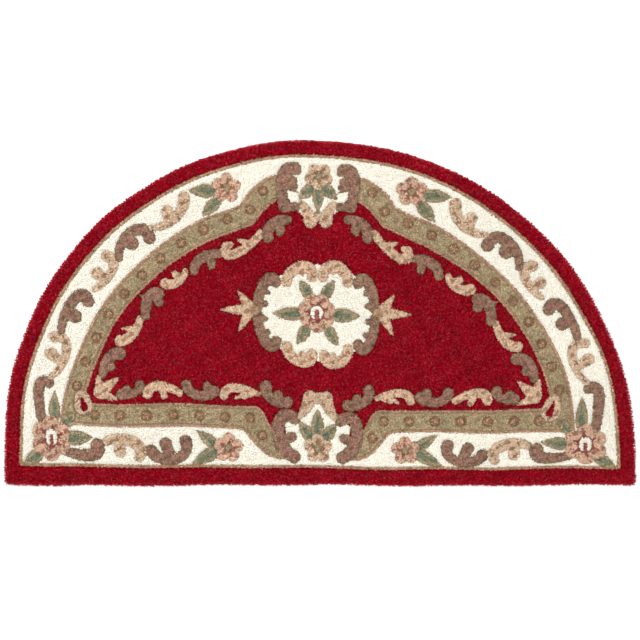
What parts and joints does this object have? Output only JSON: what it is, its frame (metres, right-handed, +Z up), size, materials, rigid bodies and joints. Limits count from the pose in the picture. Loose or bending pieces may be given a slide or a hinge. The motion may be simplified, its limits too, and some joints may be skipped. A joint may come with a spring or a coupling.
{
  "type": "half moon rug",
  "caption": "Half moon hearth rug of hand-tufted wool, with carved flowers and scrolls, a green inner band, a round medallion and a dark red field and rim.",
  "frame": {"origin": "middle of the rug's flat back, on the floor it lies on", "axes": "+X along the straight edge, +Y from the straight edge towards the round one, +Z up out of the pile"},
  "size_m": [1.272, 0.697, 0.013],
  "materials": {
    "wool_pile": "matt cut pile"
  },
  "bodies": {
    "root": {"rug": "wool_pile"}
  },
  "joints": []
}
